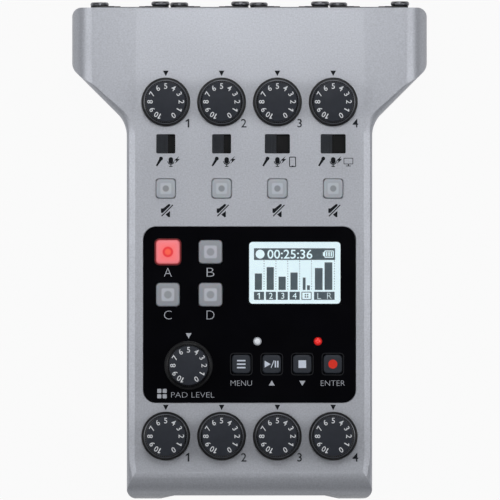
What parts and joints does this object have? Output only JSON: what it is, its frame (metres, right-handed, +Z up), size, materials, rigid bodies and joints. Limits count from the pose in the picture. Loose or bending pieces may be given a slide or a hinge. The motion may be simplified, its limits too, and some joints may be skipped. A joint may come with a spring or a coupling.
{
  "type": "podcast recorder",
  "caption": "T-shaped portable podcast recorder with microphone sockets on its shoulders, level and phones knobs, mode switches, lit pads and a display panel.",
  "frame": {"origin": "on the table under the middle of the recorder's outline", "axes": "+X to the user's right, +Y towards the microphone sockets, +Z up"},
  "size_m": [0.112, 0.157, 0.047],
  "materials": {
    "silver_paint": "fine satin silver paint over moulded plastic",
    "grey_plastic": "dark grey moulded plastic, fine texture",
    "black_gloss": "glossy black panel",
    "clear_lens": "clear display window",
    "lcd": "pale backlit display",
    "board": "solder-masked circuit board",
    "black_plastic": "black moulded plastic",
    "knob": "satin dark grey plastic",
    "silicone": "translucent grey silicone",
    "red_silicone": "translucent silicone lit red from below",
    "key": "satin dark grey key",
    "steel": "plated steel",
    "black_steel": "blackened steel",
    "gold": "gold-plated brass",
    "rubber": "soft black rubber",
    "cell": "printed battery sleeve",
    "light": "clear light guide",
    "card": "black card housing"
  },
  "bodies": {
    "case": {"top_shell": "silver_paint", "bottom_tray": "grey_plastic", "control_panel": "black_gloss", "display_lens": "clear_lens", "lcd_module": "lcd", "main_board": "board", "mic_board": "board", "jack_board": "board", "xlr_contacts": "gold", "xlr_screws": "black_steel", "phones_jacks": "black_plastic", "headset_jack": "black_plastic", "usb_ports": "steel", "card_slot": "steel", "battery_cells": "cell", "battery_contacts": "steel", "rubber_feet": "rubber", "case_screws": "black_steel", "board_screws": "steel", "pot_bodies": "grey_plastic", "slide_switches": "steel", "tact_switches": "grey_plastic", "status_leds": "light", "xlr_socket_1": "black_plastic", "xlr_socket_2": "black_plastic", "xlr_socket_3": "black_plastic", "xlr_socket_4": "black_plastic"},
    "power_slider": {"power_slider": "black_plastic"},
    "memory_card": {"memory_card": "card"},
    "battery_door": {"battery_door": "grey_plastic"},
    "gain_knob_1": {"gain_knob_1": "knob"},
    "gain_knob_2": {"gain_knob_2": "knob"},
    "gain_knob_3": {"gain_knob_3": "knob"},
    "gain_knob_4": {"gain_knob_4": "knob"},
    "phones_knob_1": {"phones_knob_1": "knob"},
    "phones_knob_2": {"phones_knob_2": "knob"},
    "phones_knob_3": {"phones_knob_3": "knob"},
    "phones_knob_4": {"phones_knob_4": "knob"},
    "pad_knob": {"pad_knob": "knob"},
    "mode_slider_1": {"mode_slider_1": "black_plastic"},
    "mode_slider_2": {"mode_slider_2": "black_plastic"},
    "mode_slider_3": {"mode_slider_3": "black_plastic"},
    "mode_slider_4": {"mode_slider_4": "black_plastic"},
    "mute_button_1": {"mute_button_1": "silicone"},
    "mute_button_2": {"mute_button_2": "silicone"},
    "mute_button_3": {"mute_button_3": "silicone"},
    "mute_button_4": {"mute_button_4": "silicone"},
    "pad_button_a": {"pad_button_a": "red_silicone"},
    "pad_button_b": {"pad_button_b": "silicone"},
    "pad_button_c": {"pad_button_c": "silicone"},
    "pad_button_d": {"pad_button_d": "silicone"},
    "menu_button": {"menu_button": "key"},
    "play_button": {"play_button": "key"},
    "stop_button": {"stop_button": "key"},
    "record_button": {"record_button": "key"},
    "xlr_latch_1": {"xlr_latch_1": "black_steel"},
    "xlr_latch_2": {"xlr_latch_2": "black_steel"},
    "xlr_latch_3": {"xlr_latch_3": "black_steel"},
    "xlr_latch_4": {"xlr_latch_4": "black_steel"}
  },
  "joints": [
    {"name": "power_slide", "type": "slide", "parent": "case", "child": "power_slider", "axis": [0, 1, 0], "range_m": [0, 0.003]},
    {"name": "card_pull", "type": "slide", "parent": "case", "child": "memory_card", "axis": [1, 0, 0], "range_m": [0, 0.025]},
    {"name": "door_slide", "type": "slide", "parent": "case", "child": "battery_door", "axis": [-1, 0, 0], "range_m": [0, 0.058]},
    {"name": "gain_turn_1", "type": "hinge", "parent": "case", "child": "gain_knob_1", "pos_m": [-0.0264, 0.0467, 0.0395], "axis": [0, 0, 1], "range_deg": [-150, 150]},
    {"name": "gain_turn_2", "type": "hinge", "parent": "case", "child": "gain_knob_2", "pos_m": [-0.0088, 0.0467, 0.0395], "axis": [0, 0, 1], "range_deg": [-150, 150]},
    {"name": "gain_turn_3", "type": "hinge", "parent": "case", "child": "gain_knob_3", "pos_m": [0.0088, 0.0467, 0.0395], "axis": [0, 0, 1], "range_deg": [-150, 150]},
    {"name": "gain_turn_4", "type": "hinge", "parent": "case", "child": "gain_knob_4", "pos_m": [0.0264, 0.0467, 0.0395], "axis": [0, 0, 1], "range_deg": [-150, 150]},
    {"name": "phones_turn_1", "type": "hinge", "parent": "case", "child": "phones_knob_1", "pos_m": [-0.0264, -0.0587, 0.0395], "axis": [0, 0, 1], "range_deg": [-150, 150]},
    {"name": "phones_turn_2", "type": "hinge", "parent": "case", "child": "phones_knob_2", "pos_m": [-0.0088, -0.0587, 0.0395], "axis": [0, 0, 1], "range_deg": [-150, 150]},
    {"name": "phones_turn_3", "type": "hinge", "parent": "case", "child": "phones_knob_3", "pos_m": [0.0088, -0.0587, 0.0395], "axis": [0, 0, 1], "range_deg": [-150, 150]},
    {"name": "phones_turn_4", "type": "hinge", "parent": "case", "child": "phones_knob_4", "pos_m": [0.0264, -0.0587, 0.0395], "axis": [0, 0, 1], "range_deg": [-150, 150]},
    {"name": "pad_level_turn", "type": "hinge", "parent": "case", "child": "pad_knob", "pos_m": [-0.0192, -0.0364, 0.0395], "axis": [0, 0, 1], "range_deg": [-150, 150]},
    {"name": "mode_slide_1", "type": "slide", "parent": "case", "child": "mode_slider_1", "axis": [1, 0, 0], "range_m": [0, 0.0022]},
    {"name": "mode_slide_2", "type": "slide", "parent": "case", "child": "mode_slider_2", "axis": [1, 0, 0], "range_m": [0, 0.0022]},
    {"name": "mode_slide_3", "type": "slide", "parent": "case", "child": "mode_slider_3", "axis": [1, 0, 0], "range_m": [0, 0.0041]},
    {"name": "mode_slide_4", "type": "slide", "parent": "case", "child": "mode_slider_4", "axis": [1, 0, 0], "range_m": [0, 0.0041]},
    {"name": "mute_press_1", "type": "slide", "parent": "case", "child": "mute_button_1", "axis": [0, 0, -1], "range_m": [0, 0.0006], "stiffness_N_per_m": 400, "springref_m": -0.0008},
    {"name": "mute_press_2", "type": "slide", "parent": "case", "child": "mute_button_2", "axis": [0, 0, -1], "range_m": [0, 0.0006], "stiffness_N_per_m": 400, "springref_m": -0.0008},
    {"name": "mute_press_3", "type": "slide", "parent": "case", "child": "mute_button_3", "axis": [0, 0, -1], "range_m": [0, 0.0006], "stiffness_N_per_m": 400, "springref_m": -0.0008},
    {"name": "mute_press_4", "type": "slide", "parent": "case", "child": "mute_button_4", "axis": [0, 0, -1], "range_m": [0, 0.0006], "stiffness_N_per_m": 400, "springref_m": -0.0008},
    {"name": "pad_press_a", "type": "slide", "parent": "case", "child": "pad_button_a", "axis": [0, 0, -1], "range_m": [0, 0.0006], "stiffness_N_per_m": 400, "springref_m": -0.0008},
    {"name": "pad_press_b", "type": "slide", "parent": "case", "child": "pad_button_b", "axis": [0, 0, -1], "range_m": [0, 0.0006], "stiffness_N_per_m": 400, "springref_m": -0.0008},
    {"name": "pad_press_c", "type": "slide", "parent": "case", "child": "pad_button_c", "axis": [0, 0, -1], "range_m": [0, 0.0006], "stiffness_N_per_m": 400, "springref_m": -0.0008},
    {"name": "pad_press_d", "type": "slide", "parent": "case", "child": "pad_button_d", "axis": [0, 0, -1], "range_m": [0, 0.0006], "stiffness_N_per_m": 400, "springref_m": -0.0008},
    {"name": "menu_press", "type": "slide", "parent": "case", "child": "menu_button", "axis": [0, 0, -1], "range_m": [0, 0.0006], "stiffness_N_per_m": 400, "springref_m": -0.0008},
    {"name": "play_press", "type": "slide", "parent": "case", "child": "play_button", "axis": [0, 0, -1], "range_m": [0, 0.0006], "stiffness_N_per_m": 400, "springref_m": -0.0008},
    {"name": "stop_press", "type": "slide", "parent": "case", "child": "stop_button", "axis": [0, 0, -1], "range_m": [0, 0.0006], "stiffness_N_per_m": 400, "springref_m": -0.0008},
    {"name": "record_press", "type": "slide", "parent": "case", "child": "record_button", "axis": [0, 0, -1], "range_m": [0, 0.0006], "stiffness_N_per_m": 400, "springref_m": -0.0008},
    {"name": "latch_press_1", "type": "slide", "parent": "case", "child": "xlr_latch_1", "axis": [0, -1, 0], "range_m": [0, 0.0012], "stiffness_N_per_m": 500, "springref_m": -0.001},
    {"name": "latch_press_2", "type": "slide", "parent": "case", "child": "xlr_latch_2", "axis": [0, -1, 0], "range_m": [0, 0.0012], "stiffness_N_per_m": 500, "springref_m": -0.001},
    {"name": "latch_press_3", "type": "slide", "parent": "case", "child": "xlr_latch_3", "axis": [0, -1, 0], "range_m": [0, 0.0012], "stiffness_N_per_m": 500, "springref_m": -0.001},
    {"name": "latch_press_4", "type": "slide", "parent": "case", "child": "xlr_latch_4", "axis": [0, -1, 0], "range_m": [0, 0.0012], "stiffness_N_per_m": 500, "springref_m": -0.001}
  ]
}
